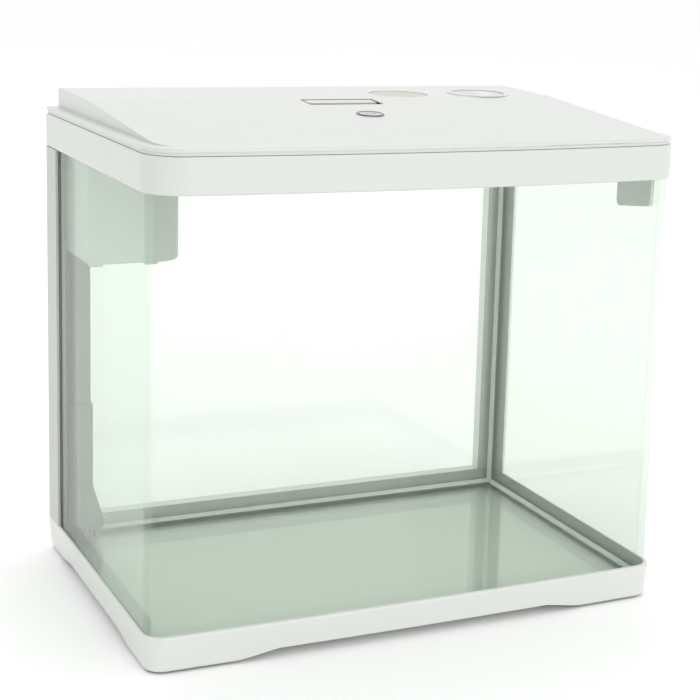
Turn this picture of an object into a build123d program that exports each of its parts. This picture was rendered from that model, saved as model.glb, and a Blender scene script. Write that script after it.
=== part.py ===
"""Small desktop aquarium on a low moulded plinth, built as separate pieces.

Millimetres, +Z up.  The origin is the centre of the footprint on the table.
The front pane looks towards -Y.
"""
import os
from math import hypot, pi

from build123d import *

os.makedirs("parts", exist_ok=True)

# ---- levels, from the table up -------------------------------------------
PAD_DROP = 1.5
FLOOR_UNDER_Z = 7.0
FLOOR_TOP_Z = 9.0
FOAM_T = 1.0
GLASS_T = 5.0
LIP_Z = 25.0
RIM_Z = 305.0
RIM_H = 23.5
LEDGE_T = 2.0
GLASS_CAP = 6.0
GROOVE_H = 2.1
NECK_GAP = 0.25
FLANGE_T = 3.0
GLASS_Z = FLOOR_TOP_Z + FOAM_T
WATER_FLOOR_Z = GLASS_Z + GLASS_T
PANE_TOP_Z = RIM_Z + GLASS_CAP
LEDGE_TOP_Z = PANE_TOP_Z + LEDGE_T
RIM_TOP_Z = RIM_Z + RIM_H
FLANGE_Z = RIM_TOP_Z + GROOVE_H
FLANGE_TOP_Z = FLANGE_Z + FLANGE_T

# ---- plan outlines: half width, front, bow of the front, rear, corner radii
GLASS_PLAN = (186.0, -119.8, 2.2, 120.0, 12.0, 0.0)
BASE_PLAN = (188.4, -123.0, 2.4, 132.0, 14.0, 4.0)
RIM_PLAN = (188.0, -127.2, 9.2, 132.0, 25.0, 3.0)
HUMP_PLAN = (180.0, -121.0, 9.0, 130.0, 24.0, 5.0)

# ---- clearances and walls -------------------------------------------------
GAP = 0.2
BASE_WALL = 2.4
BASE_DRAFT = 1.8
RIM_WALL = 2.5
LID_WALL = 2.2
RIM_OPENING = (180.0, 114.0, 3.0)
SEAM = 2.6
OVERLAP = 1.0
SOFT = 0.5

# ---- lid ------------------------------------------------------------------
CREASE_Y = 46.0
CREASE_Z = 346.0
SLOPE_FOOT_Y = -119.0
STRIP_RISE = 0.02
REAR_ROUND = 11.0
SKIRT_INSET = 5.0
SKIRT_WALL = 2.0
SKIRT_Z = 316.3
SLOPE = (CREASE_Z - FLANGE_TOP_Z) / (CREASE_Y - SLOPE_FOOT_Y)
REST_H = SKIRT_Z - LEDGE_TOP_Z - 0.3

# ---- hinge ----------------------------------------------------------------
HINGE_Y = 136.5
HINGE_Z = 330.5
HINGE_X = 120.0
KNUCKLE_R = 4.0
PIN_R = 1.5
PIN_RUN = 0.05
EAR_W = 10.0
LUG_T = 3.0
LUG_GAP = 0.4

# ---- lid fittings ----------------------------------------------------------
FEED_X, FEED_Y, FEED_R = 128.4, 64.5, 21.6
BLANK_X, BLANK_Y, BLANK_R = 62.2, 67.0, 22.1
RING_R = 23.9
RING_IN_R = 20.1
SCOOP_W, SCOOP_D, SCOOP_H = 56.0, 22.4, 9.0
SCOOP_Y = 28.5
SCOOP_WALL = 1.2
SCOOP_GAP = 7.0
FLAP_L = 11.4
BADGE_Y = -21.5
BADGE_R = 9.7
GROMMET_X, GROMMET_Z, GROMMET_R = -148.0, 321.0, 5.0

# ---- lamp -------------------------------------------------------------------
LAMP_Y = -55.0
LAMP_L, LAMP_W, LAMP_H = 290.0, 42.0, 11.0
LAMP_TOP_Z = 333.0
LAMP_WALL = 1.8
LAMP_EAR = 14.0
LED_COUNT = 24
LED_ROWS = 2
LED_MARGIN = 20.0
LAMP_ROUND = 4.0
LAMP_INNER_ROUND = 2.0
LAMP_FIT = 0.2

# ---- filter -----------------------------------------------------------------
BOX_X0, BOX_X1 = -179.5, -110.0
BOX_Y0, BOX_Y1 = 47.0, 113.5
BOX_Z = 231.0
BOX_WALL = 2.0
BOX_ROUND = 18.0
BOX_LEFT_ROUND = 5.0
BOX_REAR_ROUND = 3.0
BOX_FOOT_ROUND = 2.5
BOX_LEDGE_GAP = 0.2
BOX_TOP_Z = LEDGE_TOP_Z + BOX_LEDGE_GAP
DUCT_X, DUCT_Y = -171.3, 102.0
DUCT_W, DUCT_D = 12.0, 18.0
DUCT_WALL = 1.4
DUCT_ROUND = 2.5
DUCT_HEAD = 10.0
DUCT_FIT = 0.3
MOUTH_H = 7.0
MOUTH_ROUND = 2.0
SLEEVE_FIT = 0.1
DUCT_TOP_Z = 300.0
SLEEVE_TOP_Z = 119.0
SLEEVE_GROW = 3.0
PUMP_TOP_Z = 55.0
PUMP_WAIST_Z = 29.0
PUMP_X, PUMP_Y = -168.0, 101.0
IMPELLER_R = 5.6
SHAFT_R = 0.8


def outline(plan, inset=0.0):
    """Closed plan outline: bowed front, rounded corners, moved in by inset."""
    half, front, bow, rear, front_r, rear_r = plan
    half, front, rear = half - inset, front + inset, rear - inset
    with BuildSketch() as face:
        with BuildLine():
            ThreePointArc((-half, front), (0, front - bow), (half, front))
            Polyline((half, front), (half, rear), (-half, rear), (-half, front))
        make_face()
        fillet(face.vertices().group_by(Axis.Y)[0], front_r - inset)
        if rear_r > inset:
            fillet(face.vertices().group_by(Axis.Y)[-1], rear_r - inset)
    return face.sketch


def finish(piece, name):
    """Label a finished piece and write its STEP file."""
    piece.part.label = name
    export_step(piece.part, f"parts/{name}.step")


def slope_z(y):
    """Height of the lid's top surface at depth y."""
    if y > CREASE_Y:
        return CREASE_Z + STRIP_RISE * (y - CREASE_Y)
    return CREASE_Z + SLOPE * (y - CREASE_Y)


def lid_plane(x, y):
    """Plane lying in the lid's top surface at (x, y)."""
    rise = STRIP_RISE if y > CREASE_Y else SLOPE
    return Plane(origin=(x, y, slope_z(y)), x_dir=(1, 0, 0), z_dir=(0, -rise, 1))


# ---- base ---------------------------------------------------------------------
FOOT_X, FOOT_FRONT_Y, FOOT_REAR_Y = 166.0, -101.0, 110.0
FOOT_SPOTS = [(sx * FOOT_X, y) for sx in (-1, 1) for y in (FOOT_FRONT_Y, FOOT_REAR_Y)]
FOOT_R = 12.0
PAD_R = 9.0
PAD_T = 3.0
FRONT_ARCH = (140.0, 100.0)
SIDE_ARCH = (-97.0, -50.0, 70.0, 113.0)
BASE_LIP_ROUND = 1.2
BASE_FOOT_ROUND = 2.4


def base_tray():
    """Moulded plinth: drafted skirt with scalloped feet, a glass pocket and a rear shelf."""
    with BuildPart() as tray:
        with BuildSketch(Plane.XY.offset(PAD_DROP)):
            add(outline(BASE_PLAN, BASE_DRAFT))
        with BuildSketch(Plane.XY.offset(LIP_Z)):
            add(outline(BASE_PLAN))
        loft()
        fillet(tray.faces().sort_by(Axis.Z)[-1].edges(), BASE_LIP_ROUND)
        fillet(tray.faces().sort_by(Axis.Z)[0].edges(), BASE_FOOT_ROUND)
        with BuildSketch(Plane.XY.offset(FLOOR_TOP_Z)):
            add(outline(GLASS_PLAN, -GAP))
        extrude(amount=LIP_Z, mode=Mode.SUBTRACT)
        with BuildSketch(Plane.XY):
            add(outline(BASE_PLAN, BASE_DRAFT + BASE_WALL))
            with Locations(*FOOT_SPOTS):
                Circle(FOOT_R, mode=Mode.SUBTRACT)
        extrude(amount=FLOOR_UNDER_Z, mode=Mode.SUBTRACT)
        shelf_depth = BASE_PLAN[3] - GLASS_PLAN[3] - 2 * BASE_WALL
        with BuildSketch(Plane.XY.offset(FLOOR_UNDER_Z)):
            with Locations((0, GLASS_PLAN[3] + BASE_WALL + shelf_depth / 2)):
                Rectangle(2 * (BASE_PLAN[0] - 3 * BASE_WALL), shelf_depth)
        extrude(amount=LIP_Z - FLOOR_UNDER_Z - BASE_WALL, mode=Mode.SUBTRACT)
        with BuildSketch(Plane.XZ):
            with BuildLine():
                Polyline(
                    (-FRONT_ARCH[0], 0),
                    (-FRONT_ARCH[1], FLOOR_UNDER_Z),
                    (FRONT_ARCH[1], FLOOR_UNDER_Z),
                    (FRONT_ARCH[0], 0),
                    close=True,
                )
            make_face()
        extrude(amount=2 * BASE_PLAN[3], both=True, mode=Mode.SUBTRACT)
        with BuildSketch(Plane.YZ):
            with BuildLine():
                Polyline(
                    (SIDE_ARCH[0], 0),
                    (SIDE_ARCH[1], FLOOR_UNDER_Z),
                    (SIDE_ARCH[2], FLOOR_UNDER_Z),
                    (SIDE_ARCH[3], 0),
                    close=True,
                )
            make_face()
        extrude(amount=2 * BASE_PLAN[0], both=True, mode=Mode.SUBTRACT)
        with BuildSketch(Plane.XY):
            with Locations(*FOOT_SPOTS):
                Circle(PAD_R + GAP)
        extrude(amount=PAD_T, mode=Mode.SUBTRACT)
    finish(tray, "base_tray")


def foot_pads():
    """Four round rubber pads pressed up into the feet."""
    with BuildPart() as pads:
        with BuildSketch():
            with Locations(*FOOT_SPOTS):
                Circle(PAD_R)
        extrude(amount=PAD_T)
        chamfer(pads.faces().group_by(Axis.Z)[0].edges(), SOFT)
    finish(pads, "foot_pads")


# ---- glass tank ---------------------------------------------------------------
PANE_H = PANE_TOP_Z - GLASS_Z
INNER_X = GLASS_PLAN[0] - GLASS_T
BACK_Y = GLASS_PLAN[3] - GLASS_T
SEAM_EDGE = 0.2


def foam_mat():
    """Thin foam levelling mat between the plinth floor and the glass."""
    with BuildPart() as mat:
        with BuildSketch(Plane.XY.offset(FLOOR_TOP_Z)):
            add(outline(GLASS_PLAN))
        extrude(amount=FOAM_T)
    finish(mat, "foam_mat")


def front_side_pane():
    """One bent sheet: left side, front and right side, with rounded front corners."""
    with BuildPart() as pane:
        with BuildSketch(Plane.XY.offset(GLASS_Z)):
            add(outline(GLASS_PLAN))
            add(outline(GLASS_PLAN, GLASS_T), mode=Mode.SUBTRACT)
            with Locations((0, BACK_Y + GLASS_T / 2)):
                Rectangle(2 * INNER_X, 2 * GLASS_T, mode=Mode.SUBTRACT)
        extrude(amount=PANE_H)
    finish(pane, "front_side_pane")


def back_pane():
    """Flat back sheet between the two side walls."""
    with BuildPart() as pane:
        with BuildSketch(Plane.XY.offset(GLASS_Z)):
            with Locations((0, BACK_Y + GLASS_T / 2)):
                Rectangle(2 * INNER_X, GLASS_T)
        extrude(amount=PANE_H)
    finish(pane, "back_pane")


def bottom_pane():
    """Bottom sheet inside the walls."""
    with BuildPart() as pane:
        with BuildSketch(Plane.XY.offset(GLASS_Z)):
            add(outline(GLASS_PLAN, GLASS_T))
        extrude(amount=GLASS_T)
    finish(pane, "bottom_pane")


def silicone_seams():
    """Clear silicone fillets along the floor and up the two rear corners."""
    with BuildPart() as seams:
        with BuildSketch(Plane.XY.offset(WATER_FLOOR_Z)):
            add(outline(GLASS_PLAN, GLASS_T))
        with BuildSketch(Plane.XY.offset(WATER_FLOOR_Z + SEAM)):
            add(outline(GLASS_PLAN, GLASS_T))
        loft()
        with BuildSketch(Plane.XY.offset(WATER_FLOOR_Z)):
            add(outline(GLASS_PLAN, GLASS_T + SEAM))
        with BuildSketch(Plane.XY.offset(WATER_FLOOR_Z + SEAM)):
            add(outline(GLASS_PLAN, GLASS_T + SEAM_EDGE))
        loft(mode=Mode.SUBTRACT)
        for side in (-1, 1):
            with BuildSketch(Plane.XY.offset(WATER_FLOOR_Z)):
                with BuildLine():
                    corner = (side * INNER_X, BACK_Y)
                    Polyline(
                        corner,
                        (corner[0] - side * SEAM, corner[1]),
                        (corner[0], corner[1] - SEAM),
                        close=True,
                    )
                make_face()
            extrude(amount=PANE_TOP_Z - WATER_FLOOR_Z)
    finish(seams, "silicone_seams")


POST_FRONT_Y = 103.0
POST_INNER_X = 172.0
POST_REAR_Y = RIM_PLAN[3] - 1.0
POST_WALL = 1.8
POST_ROUND = 1.5


def corner_post(side, name):
    """White hollow post that wraps a rear corner of the tank from plinth to rim."""
    outer_x = RIM_PLAN[0]
    glass_x = GLASS_PLAN[0] + GAP
    glass_y = GLASS_PLAN[3] + GAP
    with BuildPart() as post:
        with BuildSketch(Plane.XY.offset(LIP_Z)) as section:
            with BuildLine():
                Polyline(
                    (side * outer_x, POST_FRONT_Y),
                    (side * outer_x, POST_REAR_Y),
                    (side * POST_INNER_X, POST_REAR_Y),
                    (side * POST_INNER_X, glass_y),
                    (side * glass_x, glass_y),
                    (side * glass_x, POST_FRONT_Y),
                    close=True,
                )
            make_face()
            fillet(section.vertices().group_by(Axis.Y)[-1], POST_ROUND)
            with BuildLine():
                Polyline(
                    (side * (POST_INNER_X + POST_WALL), glass_y + POST_WALL),
                    (side * glass_x, glass_y + POST_WALL),
                    (side * glass_x, POST_REAR_Y - POST_WALL),
                    (side * (POST_INNER_X + POST_WALL), POST_REAR_Y - POST_WALL),
                    close=True,
                )
            make_face(mode=Mode.SUBTRACT)
        extrude(amount=RIM_Z - LIP_Z)
    finish(post, name)


# ---- rim ------------------------------------------------------------------------
REST_SPOTS = [(sx * 183.0, y) for sx in (-1, 1) for y in (-45.0, 25.0)]
REST_W, REST_L = 3.4, 14.0
LUG_ROOT_Z = 312.0
LUG_ROOT_TOP_Z = RIM_TOP_Z - 2.0
RIM_FOOT_ROUND = 1.4
RIM_HEAD_ROUND = 0.8


def hinge_lug_spots():
    """Centres along X of the four rim lugs, a pair at each hinge."""
    reach = EAR_W / 2 + LUG_GAP + LUG_T / 2
    return [sx * HINGE_X + s * reach for sx in (-1, 1) for s in (-1, 1)]


def top_rim():
    """Moulded frame that caps the glass, carries the lid and ends in the hinge lugs."""
    with BuildPart() as rim:
        with BuildSketch(Plane.XY.offset(RIM_Z)):
            add(outline(RIM_PLAN))
        extrude(amount=RIM_H)
        fillet(rim.faces().sort_by(Axis.Z)[0].edges(), RIM_FOOT_ROUND)
        fillet(rim.faces().sort_by(Axis.Z)[-1].edges(), RIM_HEAD_ROUND)
        with BuildSketch(Plane.XY.offset(RIM_Z)):
            add(outline(GLASS_PLAN, -GAP))
        extrude(amount=GLASS_CAP, mode=Mode.SUBTRACT)
        with BuildSketch(Plane.XY.offset(RIM_Z)):
            RectangleRounded(2 * RIM_OPENING[0], 2 * RIM_OPENING[1], RIM_OPENING[2])
        extrude(amount=RIM_H, mode=Mode.SUBTRACT)
        with BuildSketch(Plane.XY.offset(LEDGE_TOP_Z)):
            add(outline(RIM_PLAN, RIM_WALL))
        extrude(amount=RIM_H, mode=Mode.SUBTRACT)
        with BuildSketch(Plane.XY.offset(RIM_Z + LEDGE_T)):
            add(outline(RIM_PLAN, RIM_WALL))
            add(outline(GLASS_PLAN, -GAP - LEDGE_T), mode=Mode.SUBTRACT)
        extrude(amount=RIM_H, mode=Mode.SUBTRACT)
        with BuildSketch(Plane.XY.offset(LEDGE_TOP_Z)):
            with Locations(*REST_SPOTS):
                Rectangle(REST_W, REST_L)
        extrude(amount=REST_H)
        with BuildSketch(Plane.XZ.offset(-RIM_PLAN[3] - OVERLAP)):
            with Locations((GROMMET_X, GROMMET_Z)):
                Circle(GROMMET_R)
        extrude(amount=RIM_WALL + 2 * OVERLAP, mode=Mode.SUBTRACT)
        for x in hinge_lug_spots():
            with BuildSketch(Plane.YZ.offset(x)):
                with Locations((HINGE_Y, HINGE_Z)):
                    Circle(KNUCKLE_R)
                with BuildLine():
                    Polyline(
                        (RIM_PLAN[3] - RIM_WALL / 2, LUG_ROOT_TOP_Z),
                        (RIM_PLAN[3] - RIM_WALL / 2, LUG_ROOT_Z),
                        (HINGE_Y + KNUCKLE_R, HINGE_Z - KNUCKLE_R),
                        (HINGE_Y + KNUCKLE_R, HINGE_Z),
                        (HINGE_Y, HINGE_Z),
                        close=True,
                    )
                make_face()
                with Locations((HINGE_Y, HINGE_Z)):
                    Circle(PIN_R, mode=Mode.SUBTRACT)
            extrude(amount=LUG_T / 2, both=True)
    finish(rim, "top_rim")


def hinge_pins():
    """Two steel pins pressed through the rim lugs."""
    length = EAR_W + 2 * (LUG_GAP + LUG_T)
    with BuildPart() as pins:
        for sx in (-1, 1):
            with BuildSketch(Plane.YZ.offset(sx * HINGE_X)):
                with Locations((HINGE_Y, HINGE_Z)):
                    Circle(PIN_R)
            extrude(amount=length / 2, both=True)
    finish(pins, "hinge_pins")


BRACKET_FRONT_Y, BRACKET_REAR_Y = -106.0, -63.0
BRACKET_FRONT_Z, BRACKET_REAR_Z = 283.0, 277.5
BRACKET_T = 2.6
BRACKET_HOOK = 2.0
BRACKET_ROUND = 4.0
BRACKET_GAP = 0.1


def rim_bracket():
    """Small moulded hanger hooked over the ledge inside the right pane."""
    outer = RIM_OPENING[0] - BRACKET_GAP
    with BuildPart() as bracket:
        with BuildSketch(Plane.YZ.offset(outer - BRACKET_T)):
            with BuildLine():
                Polyline(
                    (BRACKET_FRONT_Y, LEDGE_TOP_Z),
                    (BRACKET_FRONT_Y, BRACKET_FRONT_Z),
                    (BRACKET_REAR_Y, BRACKET_REAR_Z),
                    (BRACKET_REAR_Y, LEDGE_TOP_Z),
                    close=True,
                )
            make_face()
        extrude(amount=BRACKET_T)
        lower = bracket.edges().filter_by(Axis.X).group_by(Axis.Z)
        fillet(lower[0] + lower[1], BRACKET_ROUND)
        with Locations((outer - BRACKET_T, (BRACKET_FRONT_Y + BRACKET_REAR_Y) / 2, LEDGE_TOP_Z)):
            Box(
                BRACKET_T + BRACKET_HOOK + OVERLAP,
                BRACKET_REAR_Y - BRACKET_FRONT_Y,
                BRACKET_HOOK,
                align=(Align.MIN, Align.CENTER, Align.MIN),
            )
    finish(bracket, "rim_bracket")


# ---- lid --------------------------------------------------------------------------
def hump_block(inset, base_z):
    """Wedge that forms the lid's raised top, moved in by inset all round."""
    rear = HUMP_PLAN[3] - inset
    drop = inset * hypot(1, SLOPE)
    front = -2 * HUMP_PLAN[0]
    with BuildPart(mode=Mode.PRIVATE) as block:
        with BuildSketch(Plane.XY.offset(base_z)):
            add(outline(HUMP_PLAN, inset))
        extrude(amount=CREASE_Z)
        with BuildSketch(Plane.YZ) as profile:
            with BuildLine():
                Polyline(
                    (front, slope_z(front) - drop),
                    (CREASE_Y, CREASE_Z - drop),
                    (rear, slope_z(rear) - drop),
                    (rear, -CREASE_Z),
                    (front, -CREASE_Z),
                    close=True,
                )
            make_face()
            rear_top = profile.vertices().group_by(Axis.X)[-1].sort_by(Axis.Y)[-1]
            fillet(rear_top, REAR_ROUND - inset)
        extrude(amount=2 * HUMP_PLAN[0], both=True, mode=Mode.INTERSECT)
    return block.part


def round_plug(x, y, radius, depth):
    """Cylinder square to the lid's top surface, depth below it and above it."""
    with BuildPart(mode=Mode.PRIVATE) as plug:
        with BuildSketch(lid_plane(x, y).offset(-depth)):
            Circle(radius)
        extrude(amount=2 * depth)
    return plug.part


LAMP_SCREW_X = LAMP_L / 2 + LAMP_EAR / 2
LAMP_SCREWS = [(sx * LAMP_SCREW_X, LAMP_Y) for sx in (-1, 1)]
BOSS_R = 4.0
SCREW_R = 1.4
SCREW_HEAD_R = 2.8
SCREW_HEAD_H = 1.8
SCREW_L = 6.0
SCREW_SLOT_W = 0.7
EAR_T = 2.4
LAMP_EAR_Z = LAMP_TOP_Z - LAMP_H
LEDGE_RING_T = 2.0
LEDGE_RING_W = 2.0
HOLE_DEPTH = 9.0
FLANGE_INSET = 0.5
FLANGE_HEAD_ROUND = 1.2
FLANGE_FOOT_ROUND = 0.8
NECK_INSET = 1.3
NOTCH_MARGIN = 2.0
EAR_ROOT = 4.0


def lid_shell():
    """Lid moulding: flange, groove skirt, wedge top, holes, lamp bosses and hinge ears."""
    with BuildPart() as lid:
        with BuildSketch(Plane.XY.offset(FLANGE_Z)):
            add(outline(RIM_PLAN, FLANGE_INSET))
        extrude(amount=FLANGE_T)
        fillet(lid.faces().sort_by(Axis.Z)[-1].edges(), FLANGE_HEAD_ROUND)
        fillet(lid.faces().sort_by(Axis.Z)[0].edges(), FLANGE_FOOT_ROUND)
        with BuildSketch(Plane.XY.offset(RIM_TOP_Z + NECK_GAP)):
            add(outline(RIM_PLAN, NECK_INSET))
            add(outline(RIM_PLAN, SKIRT_INSET + SKIRT_WALL), mode=Mode.SUBTRACT)
        extrude(amount=FLANGE_Z + OVERLAP - RIM_TOP_Z - NECK_GAP)
        with BuildSketch(Plane.XY.offset(SKIRT_Z)):
            add(outline(RIM_PLAN, SKIRT_INSET))
            add(outline(RIM_PLAN, SKIRT_INSET + SKIRT_WALL), mode=Mode.SUBTRACT)
        extrude(amount=FLANGE_Z + OVERLAP - SKIRT_Z)
        add(hump_block(0, FLANGE_TOP_Z - OVERLAP))
        add(hump_block(LID_WALL, FLANGE_Z - 2 * OVERLAP), mode=Mode.SUBTRACT)
        with BuildSketch(lid_plane(BLANK_X, BLANK_Y).offset(-LID_WALL - LEDGE_RING_T)):
            Circle(BLANK_R + LEDGE_RING_W)
        extrude(amount=LEDGE_RING_T + LID_WALL / 2)
        add(round_plug(BLANK_X, BLANK_Y, BLANK_R - LEDGE_RING_W, HOLE_DEPTH), mode=Mode.SUBTRACT)
        add(round_plug(BLANK_X, BLANK_Y, BLANK_R, LID_WALL), mode=Mode.SUBTRACT)
        add(round_plug(FEED_X, FEED_Y, FEED_R, HOLE_DEPTH), mode=Mode.SUBTRACT)
        with BuildSketch(lid_plane(0, SCOOP_Y).offset(-SCOOP_H)):
            Rectangle(SCOOP_W, SCOOP_D)
        extrude(amount=2 * SCOOP_H, mode=Mode.SUBTRACT)
        with BuildSketch(Plane.XY.offset(SKIRT_Z)):
            with Locations((GROMMET_X, RIM_PLAN[3] - SKIRT_INSET - SKIRT_WALL / 2)):
                Rectangle(2 * (GROMMET_R + NOTCH_MARGIN), 2 * SKIRT_WALL)
        extrude(amount=GROMMET_Z + GROMMET_R + OVERLAP - SKIRT_Z, mode=Mode.SUBTRACT)
        for x, y in LAMP_SCREWS:
            with BuildSketch(Plane.XY.offset(LAMP_EAR_Z + EAR_T)):
                with Locations((x, y)):
                    Circle(BOSS_R)
            extrude(amount=slope_z(y) - LID_WALL / 2 - LAMP_EAR_Z - EAR_T)
            with BuildSketch(Plane.XY.offset(LAMP_EAR_Z)):
                with Locations((x, y)):
                    Circle(SCREW_R)
            extrude(amount=SCREW_L + EAR_T + OVERLAP, mode=Mode.SUBTRACT)
        for sx in (-1, 1):
            with BuildSketch(Plane.YZ.offset(sx * HINGE_X)):
                with Locations((HINGE_Y, HINGE_Z)):
                    Circle(KNUCKLE_R)
                with BuildLine():
                    Polyline(
                        (RIM_PLAN[3] - EAR_ROOT, FLANGE_Z),
                        (RIM_PLAN[3] - EAR_ROOT, FLANGE_TOP_Z),
                        (HINGE_Y, HINGE_Z + KNUCKLE_R),
                        (HINGE_Y, HINGE_Z),
                        (RIM_PLAN[3], FLANGE_Z),
                        close=True,
                    )
                make_face()
                with Locations((HINGE_Y, HINGE_Z)):
                    Circle(PIN_R + PIN_RUN, mode=Mode.SUBTRACT)
            extrude(amount=EAR_W / 2, both=True)
    finish(lid, "lid_shell")


RING_SLEEVE_H = 3.4
RING_RISE = 0.9
RING_ROUND = 0.6
RING_FIT = 0.1
RING_LEDGE_T = 1.2
RING_LEDGE_W = 1.6


def feeding_ring():
    """Raised ring pressed into the right-hand hole of the lid."""
    surface = lid_plane(FEED_X, FEED_Y)
    with BuildPart() as ring:
        with BuildSketch(surface.offset(-RING_SLEEVE_H)):
            Circle(FEED_R - RING_FIT)
            Circle(RING_IN_R, mode=Mode.SUBTRACT)
        extrude(amount=RING_SLEEVE_H)
        with BuildSketch(surface):
            Circle(RING_R)
            Circle(RING_IN_R, mode=Mode.SUBTRACT)
        extrude(amount=RING_RISE)
        widest = ring.edges().filter_by(GeomType.CIRCLE).group_by(SortBy.RADIUS)[-1]
        fillet(widest.sort_by(Axis.Z)[-1], RING_ROUND)
        with BuildSketch(surface.offset(-RING_SLEEVE_H)):
            Circle(RING_IN_R)
            Circle(RING_IN_R - RING_LEDGE_W, mode=Mode.SUBTRACT)
        extrude(amount=RING_LEDGE_T)
    finish(ring, "feeding_ring")


CAP_GAP = 0.4
CAP_LIFT = 0.2
CAP_EDGE_T = 2.4
CAP_EDGE_W = 2.0
CAP_BOWL_W = 3.0
CAP_DISH = 4.5
CAP_T = 1.8
KNOB_R = 7.0
KNOB_TOP = 1.4
KNOB_ROUND = 1.2


def feeding_cap():
    """Dished round cap with a finger knob, lifting out of the ring for feeding."""
    surface = lid_plane(FEED_X, FEED_Y)
    radius = RING_IN_R - CAP_GAP
    hollow = radius - CAP_EDGE_W
    bowl_r = (hollow**2 + CAP_DISH**2) / (2 * CAP_DISH)
    with BuildPart() as cap:
        with BuildSketch(surface.offset(CAP_LIFT - CAP_EDGE_T)):
            Circle(radius)
        extrude(amount=CAP_EDGE_T)
        with BuildSketch(surface.offset(-CAP_DISH - CAP_T)):
            Circle(radius - CAP_BOWL_W)
        extrude(amount=CAP_DISH)
        with Locations(surface.offset(bowl_r + CAP_LIFT - CAP_DISH)):
            Sphere(bowl_r, mode=Mode.SUBTRACT)
        with BuildSketch(surface.offset(-CAP_DISH - CAP_T / 2)):
            Circle(KNOB_R)
        extrude(amount=CAP_DISH + CAP_T / 2 - KNOB_TOP)
        knob_rim = cap.edges().filter_by(lambda e: abs(e.length - 2 * pi * KNOB_R) < SOFT)
        fillet(knob_rim.sort_by(Axis.Z)[-1], KNOB_ROUND)
    finish(cap, "feeding_cap")


BLANK_GAP = 0.35
BLANK_DROP = 0.4
BLANK_ROUND = 0.3
SEAT_GAP = 0.1


def blank_cap():
    """Flat round cap, flush with the lid, over the spare hole."""
    with BuildPart() as cap:
        with BuildSketch(lid_plane(BLANK_X, BLANK_Y).offset(SEAT_GAP - LID_WALL)):
            Circle(BLANK_R - BLANK_GAP)
        extrude(amount=LID_WALL - SEAT_GAP - BLANK_DROP)
        fillet(cap.faces().sort_by(Axis.Z)[-1].edges(), BLANK_ROUND)
    finish(cap, "blank_cap")


SCOOP_DROP = 0.2
SCOOP_FLOOR_TOP = 4.0
SCOOP_FLOOR_END = 7.6
SCOOP_LIP = 3.0
FLAP_T = 1.5
FLAP_SIDE_GAP = 0.8
FLAP_BARREL_R = 0.9
FLAP_REAR_GAP = 0.3
FLAP_PIN_R = 0.6
FLAP_FRONT_ROUND = 0.7
FLAP_PIVOT = (SCOOP_D / 2 - SCOOP_WALL - FLAP_REAR_GAP - FLAP_BARREL_R, -SCOOP_DROP - FLAP_BARREL_R)


def scoop_side():
    """Vertical plane through the middle of the slot, along the slope."""
    surface = lid_plane(0, SCOOP_Y)
    return Plane(origin=surface.origin, x_dir=surface.y_dir, z_dir=surface.x_dir)


def feeding_scoop():
    """Well in the lid's slot: walls with a floor that slopes to an open gap in front."""
    surface = lid_plane(0, SCOOP_Y)
    rear = SCOOP_D / 2 - SCOOP_WALL / 2
    gap_edge = SCOOP_GAP - SCOOP_D / 2
    with BuildPart() as scoop:
        with BuildSketch(surface.offset(-SCOOP_H)):
            Rectangle(SCOOP_W, SCOOP_D)
            Rectangle(SCOOP_W - 2 * SCOOP_WALL, SCOOP_D - 2 * SCOOP_WALL, mode=Mode.SUBTRACT)
        extrude(amount=SCOOP_H - SCOOP_DROP)
        with BuildSketch(scoop_side()):
            with BuildLine():
                Polyline(
                    (rear, -SCOOP_FLOOR_TOP),
                    (gap_edge, -SCOOP_FLOOR_END),
                    (gap_edge, -SCOOP_H),
                    (gap_edge + SCOOP_LIP, -SCOOP_H),
                    (rear, -SCOOP_FLOOR_TOP - SCOOP_WALL),
                    close=True,
                )
            make_face()
        extrude(amount=SCOOP_W / 2 - SCOOP_WALL / 2, both=True)
        with BuildSketch(scoop_side()):
            with Locations(FLAP_PIVOT):
                Circle(FLAP_PIN_R + PIN_RUN)
        extrude(amount=SCOOP_W / 2, both=True, mode=Mode.SUBTRACT)
    finish(scoop, "feeding_scoop")


def feeding_flap():
    """Small flap over the rear of the slot, turning on two stub pins in the well's walls."""
    half = SCOOP_W / 2 - SCOOP_WALL - FLAP_SIDE_GAP
    pivot_x, pivot_z = FLAP_PIVOT
    with BuildPart() as flap:
        with BuildSketch(scoop_side()) as section:
            with Locations((pivot_x - FLAP_L / 2, -SCOOP_DROP - FLAP_T / 2)):
                Rectangle(FLAP_L, FLAP_T)
            fillet(section.vertices().group_by(Axis.Y)[0], FLAP_FRONT_ROUND)
            with Locations(FLAP_PIVOT):
                Circle(FLAP_BARREL_R)
        extrude(amount=half, both=True)
        with BuildSketch(scoop_side()):
            with Locations((pivot_x, pivot_z)):
                Circle(FLAP_PIN_R)
        extrude(amount=SCOOP_W / 2 - PIN_RUN, both=True)
    finish(flap, "feeding_flap")


BADGE_BAND = 1.9
BADGE_RING_H = 0.7
BADGE_DISC_H = 0.5
BADGE_GROOVE = (4.2, 3.0)
BADGE_GROOVE_H = 0.2
BADGE_FIT = 0.05


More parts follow.
